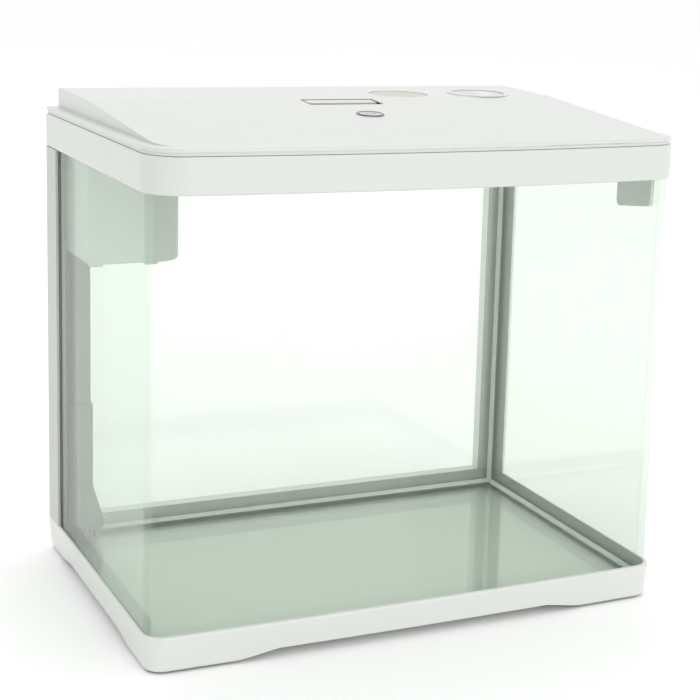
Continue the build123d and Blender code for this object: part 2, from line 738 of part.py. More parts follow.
def badge():
    """Plain dark ring and a pale disc, flat on the slope."""
    surface = lid_plane(0, BADGE_Y)
    with BuildPart() as ring:
        with BuildSketch(surface):
            Circle(BADGE_R)
            Circle(BADGE_R - BADGE_BAND, mode=Mode.SUBTRACT)
        extrude(amount=BADGE_RING_H)
    finish(ring, "badge_ring")
    with BuildPart() as disc:
        with BuildSketch(surface):
            Circle(BADGE_R - BADGE_BAND - BADGE_FIT)
        extrude(amount=BADGE_DISC_H)
        with BuildSketch(surface.offset(BADGE_DISC_H - BADGE_GROOVE_H)):
            Circle(BADGE_GROOVE[0])
            Circle(BADGE_GROOVE[1], mode=Mode.SUBTRACT)
        extrude(amount=BADGE_DISC_H, mode=Mode.SUBTRACT)
    finish(disc, "badge_disc")


GROMMET_LIP_W = 1.6
GROMMET_LIP_T = 1.0
GROMMET_BORE_R = 3.0
GROMMET_TAIL = 0.4


def cable_grommet():
    """Rubber grommet in the rim's rear wall, where the lamp and pump leads pass."""
    rear = RIM_PLAN[3]
    with BuildPart() as grommet:
        with BuildSketch(Plane.XZ.offset(-rear - GROMMET_LIP_T)):
            with Locations((GROMMET_X, GROMMET_Z)):
                Circle(GROMMET_R + GROMMET_LIP_W)
        extrude(amount=GROMMET_LIP_T)
        with BuildSketch(Plane.XZ.offset(-rear)):
            with Locations((GROMMET_X, GROMMET_Z)):
                Circle(GROMMET_R)
        extrude(amount=RIM_WALL + GROMMET_TAIL)
        with BuildSketch(Plane.XZ.offset(-rear - 2 * GROMMET_LIP_T)):
            with Locations((GROMMET_X, GROMMET_Z)):
                Circle(GROMMET_BORE_R)
        extrude(amount=RIM_WALL + 4 * GROMMET_LIP_T, mode=Mode.SUBTRACT)
    finish(grommet, "cable_grommet")


# ---- lamp ----------------------------------------------------------------------------
def led_housing():
    """Tray under the lid, open downwards, with a screw ear at each end."""
    with BuildPart() as housing:
        with BuildSketch(Plane.XY.offset(LAMP_EAR_Z)):
            with Locations((0, LAMP_Y)):
                RectangleRounded(LAMP_L, LAMP_W, LAMP_ROUND)
        extrude(amount=LAMP_H)
        with BuildSketch(Plane.XY.offset(LAMP_EAR_Z)):
            with Locations((0, LAMP_Y)):
                RectangleRounded(LAMP_L - 2 * LAMP_WALL, LAMP_W - 2 * LAMP_WALL, LAMP_INNER_ROUND)
        extrude(amount=LAMP_H - LAMP_WALL, mode=Mode.SUBTRACT)
        with BuildSketch(Plane.XY.offset(LAMP_EAR_Z)):
            for sx in (-1, 1):
                with Locations((sx * (LAMP_SCREW_X - LAMP_EAR / 4), LAMP_Y)):
                    Rectangle(LAMP_EAR / 2, 2 * BOSS_R)
            with Locations(*LAMP_SCREWS):
                Circle(BOSS_R)
                Circle(SCREW_R, mode=Mode.SUBTRACT)
        extrude(amount=EAR_T)
    finish(housing, "led_housing")


def led_spots():
    """Centres of the light chips, two rows along the lamp."""
    pitch = (LAMP_L - 2 * LED_MARGIN) / (LED_COUNT / LED_ROWS - 1)
    columns = int(LED_COUNT / LED_ROWS)
    return [
        (pitch * (i - (columns - 1) / 2), LAMP_Y + sy * LAMP_W / 5)
        for i in range(columns)
        for sy in (-1, 1)
    ]


BOARD_T = 1.6
BOARD_Z = LAMP_TOP_Z - LAMP_WALL - BOARD_T
CHIP_W = 5.0
CHIP_H = 1.2
BOARD_ROUND = 1.5
COVER_T = 2.0


def lamp_parts():
    """Circuit board, light chips and clear cover of the lamp."""
    inner_l = LAMP_L - 2 * (LAMP_WALL + LAMP_FIT)
    inner_w = LAMP_W - 2 * (LAMP_WALL + LAMP_FIT)
    with BuildPart() as board:
        with BuildSketch(Plane.XY.offset(BOARD_Z)):
            with Locations((0, LAMP_Y)):
                RectangleRounded(inner_l, inner_w, BOARD_ROUND)
        extrude(amount=BOARD_T)
    finish(board, "led_board")
    with BuildPart() as chips:
        with BuildSketch(Plane.XY.offset(BOARD_Z - CHIP_H)):
            with Locations(*led_spots()):
                Rectangle(CHIP_W, CHIP_W)
        extrude(amount=CHIP_H)
    finish(chips, "led_chips")
    with BuildPart() as cover:
        with BuildSketch(Plane.XY.offset(LAMP_EAR_Z)):
            with Locations((0, LAMP_Y)):
                RectangleRounded(inner_l, inner_w, BOARD_ROUND)
        extrude(amount=COVER_T)
    finish(cover, "led_cover")


def lamp_screws():
    """Two screws up through the lamp ears into the lid bosses."""
    with BuildPart() as screws:
        with BuildSketch(Plane.XY.offset(LAMP_EAR_Z - SCREW_HEAD_H)):
            with Locations(*LAMP_SCREWS):
                Circle(SCREW_HEAD_R)
        extrude(amount=SCREW_HEAD_H)
        fillet(screws.faces().group_by(Axis.Z)[0].edges(), SOFT)
        with BuildSketch(Plane.XY.offset(LAMP_EAR_Z - SCREW_HEAD_H)):
            with Locations(*LAMP_SCREWS):
                Rectangle(2 * SCREW_R, SCREW_SLOT_W)
                Rectangle(SCREW_SLOT_W, 2 * SCREW_R)
        extrude(amount=SCREW_HEAD_H / 2, mode=Mode.SUBTRACT)
        with BuildSketch(Plane.XY.offset(LAMP_EAR_Z)):
            with Locations(*LAMP_SCREWS):
                Circle(SCREW_R)
        extrude(amount=SCREW_L + EAR_T)
    finish(screws, "lamp_screws")


# ---- filter -----------------------------------------------------------------------
BOX_LIP_X0, BOX_LIP_Y1, BOX_LIP_T = -184.2, 118.0, 1.8
NUB_W, NUB_H = 9.0, 2.0
GRID_Z = 236.0
GRID_T = 2.0
TRAY_Z = 296.0
TRAY_H = 8.0
SPONGE_Z = 262.0
SPONGE_H = 30.0
PARTITION_X = -157.0
PARTITION_Y = 91.0
RING_OUT, RING_HOLE, RING_LEN = 5.0, 2.4, 10.0
DRAIN_HOLE = 4.0
PARTITION_ROOT = 0.5
PARTITION_DROP = 2.0
NUB_ROUND = 2.0
NUB_ROOT = 0.5
NUB_INSET = 9.0
NUB_REAR_INSET = 12.0
MEDIA_GAPS = (0.5, 0.6, 0.8)


def box_plan(inset):
    """Filter box outline with its large rounded front corner, moved in by inset."""
    with BuildSketch() as face:
        with BuildLine():
            Polyline(
                (BOX_X0 + inset, BOX_Y0 + inset),
                (BOX_X1 - inset, BOX_Y0 + inset),
                (BOX_X1 - inset, BOX_Y1 - inset),
                (BOX_X0 + inset, BOX_Y1 - inset),
                close=True,
            )
        make_face()
        front = face.vertices().group_by(Axis.Y)[0].sort_by(Axis.X)
        fillet(front[1], BOX_ROUND - inset)
        fillet(front[0], BOX_LEFT_ROUND - inset)
        fillet(face.vertices().group_by(Axis.Y)[-1], BOX_REAR_ROUND - inset / 2)
    return face.sketch


def duct_plan(grow=0.0):
    """Section of the riser duct, grown evenly by half of grow on each side."""
    with BuildSketch() as face:
        with Locations((DUCT_X, DUCT_Y)):
            RectangleRounded(DUCT_W + grow, DUCT_D + grow, DUCT_ROUND + grow / 2)
    return face.sketch


def media_plan(inset):
    """Space inside the box for the media: the box less the duct's corner."""
    with BuildSketch() as face:
        add(box_plan(BOX_WALL + inset))
        with BuildLine():
            Polyline(
                (BOX_X0, BOX_Y1),
                (BOX_X0, PARTITION_Y - inset),
                (PARTITION_X + inset, PARTITION_Y - inset),
                (PARTITION_X + inset, BOX_Y1),
                close=True,
            )
        make_face(mode=Mode.SUBTRACT)
    return face.sketch


DRAIN_SPOTS = [(x, y) for x in (-148.0, -139.0, -130.0, -121.5) for y in (72.0, 82.0, 92.0, 102.0)]
NUB_SPOTS = [
    (-132.5, BOX_Y0 + NUB_INSET),
    (-150.0, BOX_Y1 - NUB_REAR_INSET),
    (-172.0, BOX_Y0 + NUB_INSET),
]


def filter_box():
    """Open box hung on the rim ledge, with a duct chamber and drain holes in its floor."""
    with BuildPart() as box:
        with BuildSketch(Plane.XY.offset(BOX_Z)):
            add(box_plan(0))
        extrude(amount=BOX_TOP_Z - BOX_Z)
        fillet(box.faces().sort_by(Axis.Z)[0].edges(), BOX_FOOT_ROUND)
        with BuildSketch(Plane.XY.offset(BOX_Z + BOX_WALL)):
            add(box_plan(BOX_WALL))
        extrude(amount=BOX_TOP_Z - BOX_Z, mode=Mode.SUBTRACT)
        with BuildSketch(Plane.XY.offset(BOX_Z + BOX_WALL - PARTITION_ROOT)):
            with BuildLine():
                Polyline(
                    (BOX_X0 + BOX_WALL, PARTITION_Y),
                    (PARTITION_X, PARTITION_Y),
                    (PARTITION_X, BOX_Y1 - BOX_WALL),
                )
                offset(amount=-BOX_WALL / 4, side=Side.BOTH)
            make_face()
        extrude(amount=TRAY_Z - PARTITION_DROP - BOX_Z - BOX_WALL)
        with BuildSketch(Plane.XY.offset(BOX_TOP_Z)):
            with Locations((BOX_LIP_X0, BOX_LIP_Y1)):
                Rectangle(
                    BOX_X1 - BOX_LIP_X0,
                    BOX_LIP_Y1 - BOX_Y0 - BOX_ROUND,
                    align=(Align.MIN, Align.MAX),
                )
            add(box_plan(BOX_WALL), mode=Mode.SUBTRACT)
        extrude(amount=BOX_LIP_T)
        with BuildSketch(Plane.XY.offset(BOX_Z)):
            with Locations(*DRAIN_SPOTS):
                Circle(DRAIN_HOLE / 2)
            add(duct_plan(DUCT_FIT))
        extrude(amount=BOX_WALL, mode=Mode.SUBTRACT)
        with BuildSketch(Plane.XY.offset(BOX_Z - NUB_H)):
            with Locations(*NUB_SPOTS):
                RectangleRounded(NUB_W, NUB_W, NUB_ROUND)
        extrude(amount=NUB_H + NUB_ROOT)
    finish(box, "filter_box")


GRID_CENTRE = (-137.0, 80.0)
GRID_PITCH = (9.0, 7.0)
GRID_SLOTS = (4, 7)
GRID_SLOT = (6.5, 3.0, 1.2)
GRID_LEGS = [(-171.0, 55.0), (-124.0, 69.0), (-151.0, 106.0)]
GRID_LEG_R = 2.0
RING_START = (-169.0, 58.0)
RING_PITCH = (12.2, 13.0)
RING_MARGIN = 8.0
RING_CORNER = 14.0
RING_LAYER_GAP = 0.4


def ring_spots():
    """Centres of the ceramic rings, clear of the duct chamber and the round corner."""
    spots = [
        (RING_START[0] + RING_PITCH[0] * i, RING_START[1] + RING_PITCH[1] * j)
        for i in range(5)
        for j in range(4)
    ]
    return [
        (x, y)
        for x, y in spots
        if not (x < PARTITION_X + RING_MARGIN and y > PARTITION_Y - RING_MARGIN)
        and not (x > BOX_X1 - RING_CORNER and y < BOX_Y0 + RING_CORNER)
    ]


def filter_media():
    """Slotted grid, ceramic rings and sponge stacked in the box."""
    with BuildPart() as grid:
        with BuildSketch(Plane.XY.offset(GRID_Z)):
            add(media_plan(MEDIA_GAPS[0]))
            with Locations(GRID_CENTRE):
                with GridLocations(*GRID_PITCH, *GRID_SLOTS):
                    RectangleRounded(*GRID_SLOT, mode=Mode.SUBTRACT)
        extrude(amount=GRID_T)
        with BuildSketch(Plane.XY.offset(BOX_Z + BOX_WALL)):
            with Locations(*GRID_LEGS):
                Circle(GRID_LEG_R)
        extrude(amount=GRID_Z - BOX_Z - BOX_WALL)
    finish(grid, "media_grid")
    with BuildPart() as rings:
        for level in range(2):
            with BuildSketch(Plane.XY.offset(GRID_Z + GRID_T + level * (RING_LEN + RING_LAYER_GAP))):
                with Locations(*ring_spots()):
                    Circle(RING_OUT)
                    Circle(RING_HOLE, mode=Mode.SUBTRACT)
            extrude(amount=RING_LEN)
    finish(rings, "bio_rings")
    with BuildPart() as sponge:
        with BuildSketch(Plane.XY.offset(SPONGE_Z)):
            add(media_plan(MEDIA_GAPS[1]))
        extrude(amount=SPONGE_H)
    finish(sponge, "filter_sponge")


TRAY_T = 1.6
TRAY_HOLE_R = 1.6
TRAY_CENTRE = (-137.0, 78.0)
TRAY_PITCH = 8.0
TRAY_HOLES = (4, 6)
FINGER_SPOT = (-152.0, 54.0)
FINGER_W = 10.0
FINGER_RISE = 5.0


def drip_tray():
    """Perforated tray that lies over the sponge and lifts out."""
    with BuildPart() as tray:
        with BuildSketch(Plane.XY.offset(TRAY_Z)):
            add(media_plan(MEDIA_GAPS[2]))
        extrude(amount=TRAY_H)
        with BuildSketch(Plane.XY.offset(TRAY_Z + TRAY_T)):
            add(media_plan(MEDIA_GAPS[2] + TRAY_T))
        extrude(amount=TRAY_H, mode=Mode.SUBTRACT)
        with BuildSketch(Plane.XY.offset(TRAY_Z)):
            with Locations(TRAY_CENTRE):
                with GridLocations(TRAY_PITCH, TRAY_PITCH, *TRAY_HOLES):
                    Circle(TRAY_HOLE_R)
        extrude(amount=TRAY_T, mode=Mode.SUBTRACT)
        with BuildSketch(Plane.XY.offset(TRAY_Z + TRAY_T)):
            with Locations(FINGER_SPOT):
                Rectangle(FINGER_W, TRAY_T)
        extrude(amount=TRAY_H + FINGER_RISE - TRAY_T)
    finish(tray, "drip_tray")


DUCT_Z = PUMP_TOP_Z + 6.0
DUCT_END_Z = DUCT_TOP_Z + DUCT_HEAD
MOUTH_INSET = 4.0


def riser():
    """Flat duct from the pump up into the box, with an outlet over the tray, and its sleeve."""
    with BuildPart() as duct:
        with BuildSketch(Plane.XY.offset(DUCT_Z)):
            add(duct_plan())
        extrude(amount=DUCT_END_Z - DUCT_Z)
        with BuildSketch(Plane.XY.offset(DUCT_Z)):
            add(duct_plan(-2 * DUCT_WALL))
        extrude(amount=DUCT_END_Z - DUCT_WALL - DUCT_Z, mode=Mode.SUBTRACT)
        with BuildSketch(Plane.YZ.offset(DUCT_X + DUCT_W / 2 - DUCT_WALL - OVERLAP)):
            with Locations((DUCT_Y, DUCT_TOP_Z + DUCT_HEAD / 2)):
                RectangleRounded(DUCT_D - MOUTH_INSET, MOUTH_H, MOUTH_ROUND)
        extrude(amount=DUCT_WALL + 2 * OVERLAP, mode=Mode.SUBTRACT)
    finish(duct, "riser_duct")
    with BuildPart() as sleeve:
        with BuildSketch(Plane.XY.offset(PUMP_TOP_Z)):
            add(duct_plan(SLEEVE_GROW))
            add(duct_plan(SLEEVE_FIT), mode=Mode.SUBTRACT)
        extrude(amount=SLEEVE_TOP_Z - PUMP_TOP_Z)
    finish(sleeve, "riser_sleeve")


FOOT_TOP = (DUCT_W + SLEEVE_GROW, DUCT_D + SLEEVE_GROW)
FOOT_WAIST = (24.0, 24.0)
FOOT_SOLE = (17.0, 19.0)
FOOT_SOLE_SHIFT = 1.5
FOOT_WALL = 1.6
FOOT_ROUND = 3.0
PUMP_Z = WATER_FLOOR_Z + 0.3
SLOT_W, SLOT_H, SLOT_ROUND = 2.4, 7.0, 1.0
SLOT_PITCH = 4.0
SLOT_COUNT = 3
SLOT_MID_Z = PUMP_Z + 5.5
CAN_Z = 21.0
CAN_H = 13.0
CAN_FLOOR = 2.0
STATOR_R, STATOR_BORE = 6.6, 4.6
MAGNET_R = 3.8
MAGNET_Z = CAN_Z + 2.6
MAGNET_H = 12.0
HUB_R = 2.4
VANE_COUNT = 6
VANE_T = 1.2
VANE_H = 5.0
COVER_Z = 42.0
COVER_PLATE_T = 1.6
COVER_PLATE = (14.0, 17.4, 2.0)
COVER_SHIFT = (-1.2, 0.8)
PORT_R = 1.8
PORT_RING_R = 4.4
PORT_COUNT = 4


def foot_shape(shrink):
    """Pump housing body: waisted outwards at the middle, drawn in by shrink."""
    sections = (
        (PUMP_Z, FOOT_SOLE, (PUMP_X - FOOT_SOLE_SHIFT, PUMP_Y)),
        (PUMP_WAIST_Z, FOOT_WAIST, (PUMP_X, PUMP_Y)),
        (PUMP_TOP_Z, FOOT_TOP, (DUCT_X, DUCT_Y)),
    )
    with BuildPart(mode=Mode.PRIVATE) as shape:
        for z, size, centre in sections:
            with BuildSketch(Plane.XY.offset(z)):
                with Locations(centre):
                    RectangleRounded(size[0] - 2 * shrink, size[1] - 2 * shrink, FOOT_ROUND - shrink)
        loft(ruled=True)
    return shape.part


def pump_housing():
    """Flared pump foot at the bottom of the riser, slotted near the floor."""
    with BuildPart() as housing:
        add(foot_shape(0))
        add(foot_shape(FOOT_WALL), mode=Mode.SUBTRACT)
        with BuildSketch(Plane.XZ.offset(-PUMP_Y)):
            with Locations((PUMP_X, SLOT_MID_Z)):
                with GridLocations(SLOT_PITCH, SLOT_PITCH, SLOT_COUNT, 1):
                    RectangleRounded(SLOT_W, SLOT_H, SLOT_ROUND)
        extrude(amount=FOOT_WAIST[1], mode=Mode.SUBTRACT)
        with BuildSketch(Plane.YZ.offset(PUMP_X)):
            with Locations((PUMP_Y, SLOT_MID_Z)):
                with GridLocations(SLOT_PITCH, SLOT_PITCH, SLOT_COUNT, 1):
                    RectangleRounded(SLOT_W, SLOT_H, SLOT_ROUND)
        extrude(amount=FOOT_WAIST[0], mode=Mode.SUBTRACT)
    finish(housing, "pump_housing")


def pump_disc(z, radius, hole=0.0):
    """Round section of the pump at height z, with a central hole when one is given."""
    with BuildSketch(Plane.XY.offset(z)) as face:
        with Locations((PUMP_X, PUMP_Y)):
            Circle(radius)
            if hole:
                Circle(hole, mode=Mode.SUBTRACT)
    return face.sketch


def stator_and_shaft():
    """Sealed stator can and the ceramic shaft that stands in it."""
    with BuildPart() as stator:
        add(pump_disc(CAN_Z, STATOR_R, SHAFT_R))
        extrude(amount=CAN_H + OVERLAP)
        add(pump_disc(CAN_Z + CAN_FLOOR, STATOR_BORE))
        extrude(amount=CAN_H, mode=Mode.SUBTRACT)
    finish(stator, "pump_stator")
    with BuildPart() as shaft:
        add(pump_disc(CAN_Z, SHAFT_R))
        extrude(amount=COVER_Z + COVER_PLATE_T - CAN_Z)
    finish(shaft, "impeller_shaft")


def rotor():
    """Magnet and six-vane impeller that turn on the shaft."""
    with BuildPart() as magnet:
        add(pump_disc(MAGNET_Z, MAGNET_R, SHAFT_R + PIN_RUN))
        extrude(amount=MAGNET_H)
    finish(magnet, "impeller_magnet")
    with BuildPart() as wheel:
        with BuildSketch(Plane.XY.offset(MAGNET_Z + MAGNET_H)):
            with Locations((PUMP_X, PUMP_Y)):
                Circle(HUB_R)
                with PolarLocations(0, VANE_COUNT):
                    Rectangle(IMPELLER_R, VANE_T, align=(Align.MIN, Align.CENTER))
                Circle(SHAFT_R + PIN_RUN, mode=Mode.SUBTRACT)
        extrude(amount=VANE_H)
    finish(wheel, "impeller")


def pump_cover():
    """Ported plate over the impeller, holding the top of the shaft."""
    with BuildPart() as cover:
        with BuildSketch(Plane.XY.offset(COVER_Z)):
            with Locations((PUMP_X + COVER_SHIFT[0], PUMP_Y + COVER_SHIFT[1])):
                RectangleRounded(*COVER_PLATE)
            with Locations((PUMP_X, PUMP_Y)):
                with PolarLocations(PORT_RING_R, PORT_COUNT):
                    Circle(PORT_R, mode=Mode.SUBTRACT)
                Circle(SHAFT_R, mode=Mode.SUBTRACT)
        extrude(amount=COVER_PLATE_T)
    finish(cover, "pump_cover")


# ---- build every piece ------------------------------------------------------------
base_tray()
foot_pads()
foam_mat()
front_side_pane()
back_pane()
bottom_pane()
silicone_seams()
corner_post(-1, "corner_post_left")
corner_post(1, "corner_post_right")
top_rim()
hinge_pins()
rim_bracket()
lid_shell()
feeding_ring()
feeding_cap()
blank_cap()
feeding_scoop()
feeding_flap()
badge()
cable_grommet()
led_housing()
lamp_parts()
lamp_screws()
filter_box()
filter_media()
drip_tray()
riser()
pump_housing()
stator_and_shaft()
rotor()
pump_cover()
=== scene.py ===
"""Looks of the small desktop aquarium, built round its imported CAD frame.  Metres, +Z up."""
import math

import bmesh
import bpy
from mathutils import Matrix, Vector

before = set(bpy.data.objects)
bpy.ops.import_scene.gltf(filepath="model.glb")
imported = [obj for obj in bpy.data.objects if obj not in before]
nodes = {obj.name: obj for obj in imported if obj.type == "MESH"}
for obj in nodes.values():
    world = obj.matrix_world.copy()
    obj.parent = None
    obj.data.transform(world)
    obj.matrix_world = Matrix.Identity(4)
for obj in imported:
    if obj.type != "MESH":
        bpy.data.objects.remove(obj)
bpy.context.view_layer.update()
scene = bpy.context.scene
MM = 0.001


# ---- camera ---------------------------------------------------------------------
CAM_AT = (-0.47279, -1.07107, 0.45425)
CAM_HEADING = 0.45738
CAM_PITCH = -0.19000
CAM_ROLL = -0.03434
FOCAL_IN_FRAMES = 2.38807
SENSOR = 36.0
SHIFT_X, SHIFT_Y = -0.1029, -0.1143
CLIP_NEAR, CLIP_FAR = 0.05, 100.0


def make_camera():
    """Camera at the photograph's viewing angle, aimed right of and above the tank's middle."""
    data = bpy.data.cameras.new("camera")
    data.sensor_width = SENSOR
    data.lens = FOCAL_IN_FRAMES * SENSOR
    data.shift_x, data.shift_y = SHIFT_X, SHIFT_Y
    data.clip_start, data.clip_end = CLIP_NEAR, CLIP_FAR
    cam = bpy.data.objects.new("camera", data)
    forward = Vector((
        math.sin(CAM_HEADING) * math.cos(CAM_PITCH),
        math.cos(CAM_HEADING) * math.cos(CAM_PITCH),
        math.sin(CAM_PITCH),
    ))
    right = Vector((math.cos(CAM_HEADING), -math.sin(CAM_HEADING), 0.0))
    up = right.cross(forward)
    turned_right = right * math.cos(CAM_ROLL) - up * math.sin(CAM_ROLL)
    turned_up = up * math.cos(CAM_ROLL) + right * math.sin(CAM_ROLL)
    turn = Matrix((turned_right, turned_up, -forward)).transposed().to_4x4()
    cam.matrix_world = Matrix.Translation(CAM_AT) @ turn
    scene.collection.objects.link(cam)
    scene.camera = cam


# ---- lights and floor -------------------------------------------------------------
WORLD_WHITE = (1.0, 1.0, 1.0, 1.0)
WORLD_STRENGTH = 1.0
LAMPS = (  # name, place, aim, width and height, watts
    ("top", (0.0, 0.6, 4.0), (0.0, 0.0, 0.0), (4.0, 4.0), 12.0),
    ("front", (0.5, -2.4, 1.1), (0.0, 0.0, 0.2), (1.6, 1.6), 14.0),
    ("rear_fill", (0.3, 1.9, 2.8), (0.0, 0.0, 0.1), (1.4, 1.2), 9.0),
)
PAPER_WHITE = (0.985, 0.985, 0.985)
PAPER_ROUGHNESS = 0.9
PAPER_HALF = 30.0


def area_light(name, at, aim, size, watts):
    """Soft rectangular studio light."""
    data = bpy.data.lights.new(name, "AREA")
    data.shape = "RECTANGLE"
    data.size, data.size_y = size
    data.energy = watts
    lamp = bpy.data.objects.new(name, data)
    way = Vector(aim) - Vector(at)
    lamp.matrix_world = Matrix.Translation(at) @ way.to_track_quat("-Z", "Y").to_matrix().to_4x4()
    scene.collection.objects.link(lamp)


def make_paper():
    """Plain pale floor under the tank."""
    bm = bmesh.new()
    turns = ((-1, -1), (1, -1), (1, 1), (-1, 1))
    bm.faces.new([bm.verts.new((x * PAPER_HALF, y * PAPER_HALF, 0.0)) for x, y in turns])
    mesh = bpy.data.meshes.new("floor")
    bm.to_mesh(mesh)
    bm.free()
    floor = bpy.data.objects.new("floor", mesh)
    scene.collection.objects.link(floor)
    mat, tree, shader = principled("floor_paper", PAPER_WHITE, PAPER_ROUGHNESS)
    mottle(tree, shader, PAPER_WHITE, 3.0, 0.01)
    mesh.materials.append(mat)


def make_studio():
    """White surroundings, three soft lights and the floor."""
    world = bpy.data.worlds.new("studio")
    scene.world = world
    world.use_nodes = True
    back = world.node_tree.nodes["Background"]
    back.inputs["Color"].default_value = WORLD_WHITE
    back.inputs["Strength"].default_value = WORLD_STRENGTH
    scene.view_settings.view_transform = "Standard"
    for lamp in LAMPS:
        area_light(*lamp)
    make_paper()


# ---- material helpers ---------------------------------------------------------------
NOISE_ROUGHNESS = 0.55
MIX_A, MIX_B, MIX_RESULT = 6, 7, 2      # the colour sockets of a Mix node


def principled(name, colour, roughness, **settings):
    """New material with one Principled shader; constants sit on its own sockets."""
    mat = bpy.data.materials.new(name)
    mat.use_nodes = True
    tree = mat.node_tree
    shader = tree.nodes["Principled BSDF"]
    shader.inputs["Base Color"].default_value = (*colour, 1.0)
    shader.inputs["Roughness"].default_value = roughness
    for key, value in settings.items():
        shader.inputs[key.replace("_", " ")].default_value = value
    return mat, tree, shader


def object_noise(tree, scale, detail, stretch=(1.0, 1.0, 1.0)):
    """Noise fixed to the piece, in its own coordinates."""
    place = tree.nodes.new("ShaderNodeTexCoord")
    mapping = tree.nodes.new("ShaderNodeMapping")
    mapping.inputs["Scale"].default_value = stretch
    noise = tree.nodes.new("ShaderNodeTexNoise")
    noise.inputs["Scale"].default_value = scale
    noise.inputs["Detail"].default_value = detail
    noise.inputs["Roughness"].default_value = NOISE_ROUGHNESS
    tree.links.new(place.outputs["Object"], mapping.inputs["Vector"])
    tree.links.new(mapping.outputs["Vector"], noise.inputs["Vector"])
    return noise.outputs["Fac"]


def spread(tree, value, low, high):
    """Maps a 0 to 1 value onto low to high."""
    node = tree.nodes.new("ShaderNodeMapRange")
    node.inputs["To Min"].default_value = low
    node.inputs["To Max"].default_value = high
    tree.links.new(value, node.inputs["Value"])
    return node.outputs["Result"]


def maths(tree, operation, value, *constants):
    """Math node with one linked input; the constants fill the sockets after it."""
    node = tree.nodes.new("ShaderNodeMath")
    node.operation = operation
    tree.links.new(value, node.inputs[0])
    for place, constant in enumerate(constants, start=1):
        node.inputs[place].default_value = constant
    return node


def mottle(tree, shader, colour, scale, amount):
    """Slight uneven tone of a moulded or coated surface."""
    mix = tree.nodes.new("ShaderNodeMix")
    mix.data_type = "RGBA"
    tree.links.new(object_noise(tree, scale, 1.0), mix.inputs[0])
    darker = [c * (1 - amount) for c in colour]
    lighter = [min(1.0, c * (1 + amount)) for c in colour]
    mix.inputs[MIX_A].default_value = (*darker, 1.0)
    mix.inputs[MIX_B].default_value = (*lighter, 1.0)
    tree.links.new(mix.outputs[MIX_RESULT], shader.inputs["Base Color"])


def rough_patches(tree, shader, scale, low, high):
    """Uneven gloss."""
    gloss = spread(tree, object_noise(tree, scale, 1.0), low, high)
    tree.links.new(gloss, shader.inputs["Roughness"])


def bump(tree, shader, height, distance):
    """Bump from a height socket."""
    node = tree.nodes.new("ShaderNodeBump")
    node.inputs["Distance"].default_value = distance
    node.inputs["Strength"].default_value = 1.0
    tree.links.new(height, node.inputs["Height"])
    tree.links.new(node.outputs["Normal"], shader.inputs["Normal"])


# ---- moulded plastics and other opaque stuffs ------------------------------------------
SOLID_IOR = 1.5
COAT_ROUGHNESS = 0.12
TONE_SCALE, TONE_AMOUNT = 7.0, 0.010
GLOSS_SCALE, GLOSS_LOW, GLOSS_HIGH = 11.0, 0.88, 1.15
WAVE_SCALE, WAVE_HEIGHT = 16.0, 0.008 * MM

MOULDINGS = {  # key: material name, colour, roughness, further settings of moulded()
    "abs": ("white_abs", (0.610, 0.634, 0.600), 0.30, {"coat": 0.25}),
    # base tray: the same white ABS made lighter, painted light
    "base": ("plinth_abs_painted_light", (0.665, 0.690, 0.655), 0.30, {"coat": 0.25}),
    # right rear post: the same white ABS made much lighter, painted light on the post seen through
    # the glass
    "post": ("post_abs_painted_light", (0.800, 0.830, 0.790), 0.30, {"coat": 0.25}),
    # left post: the same white ABS made darker, painted shade of its side turned from the light,
    # with a little more roughness and no coat
    "post_left": ("post_abs_painted_shade", (0.500, 0.520, 0.490), 0.36, {}),
    "cap": ("grey_cap", (0.530, 0.525, 0.480), 0.38, {}),
    "box": ("box_white", (0.56, 0.60, 0.555), 0.32, {}),
    # riser duct, sleeve and pump parts: white plastic painted dark grey, painted shade of the rear
    # corner inside the tank
    "grey": ("grey_plastic", (0.120, 0.124, 0.108), 0.55, {}),
    # feeding scoop: near black, painted shade of the hollow under the feeding slot
    "well": ("well_painted_shade", (0.025, 0.026, 0.024), 0.5, {}),
    "dark": ("badge_dark", (0.045, 0.048, 0.047), 0.25, {"coat": 0.5}),
    "disc": ("badge_pale", (0.42, 0.43, 0.42), 0.22, {"coat": 0.5}),
    "board": ("solder_mask", (0.80, 0.80, 0.77), 0.35, {}),
    "resin": ("resin", (0.03, 0.03, 0.033), 0.45, {}),
    "shaft": ("shaft_ceramic", (0.85, 0.84, 0.80), 0.15, {}),
    "magnet": ("ferrite", (0.035, 0.035, 0.038), 0.5, {}),
    "impeller": ("impeller_blue", (0.05, 0.11, 0.30), 0.35, {}),
    "rubber": ("black_rubber", (0.022, 0.023, 0.024), 0.75, {"grain": 900.0, "depth": 0.06 * MM}),
    "foam": ("foam", (0.96, 0.97, 0.95), 0.9, {"grain": 600.0, "depth": 0.2 * MM}),
    "ceramic": ("porous_ceramic", (0.68, 0.62, 0.52), 0.85, {"grain": 900.0, "depth": 0.3 * MM}),
    "sponge": ("sponge", (0.03, 0.05, 0.075), 0.95, {"grain": 420.0, "depth": 0.9 * MM}),
}


def moulded(name, colour, roughness, coat=0.0, grain=0.0, depth=0.0):
    """Opaque stuff with faint uneven tone and gloss, and a grain where it has a depth."""
    mat, tree, shader = principled(
        name, colour, roughness, Coat_Weight=coat, Coat_Roughness=COAT_ROUGHNESS, IOR=SOLID_IOR)
    mottle(tree, shader, colour, TONE_SCALE, TONE_AMOUNT)
    rough_patches(tree, shader, GLOSS_SCALE, roughness * GLOSS_LOW, roughness * GLOSS_HIGH)
    if depth:
        wave = object_noise(tree, WAVE_SCALE, 1.0)
        tall = maths(tree, "MULTIPLY_ADD", wave, WAVE_HEIGHT / depth)
        tree.links.new(object_noise(tree, grain, 2.0), tall.inputs[2])
        bump(tree, shader, tall.outputs[0], depth)
    return mat


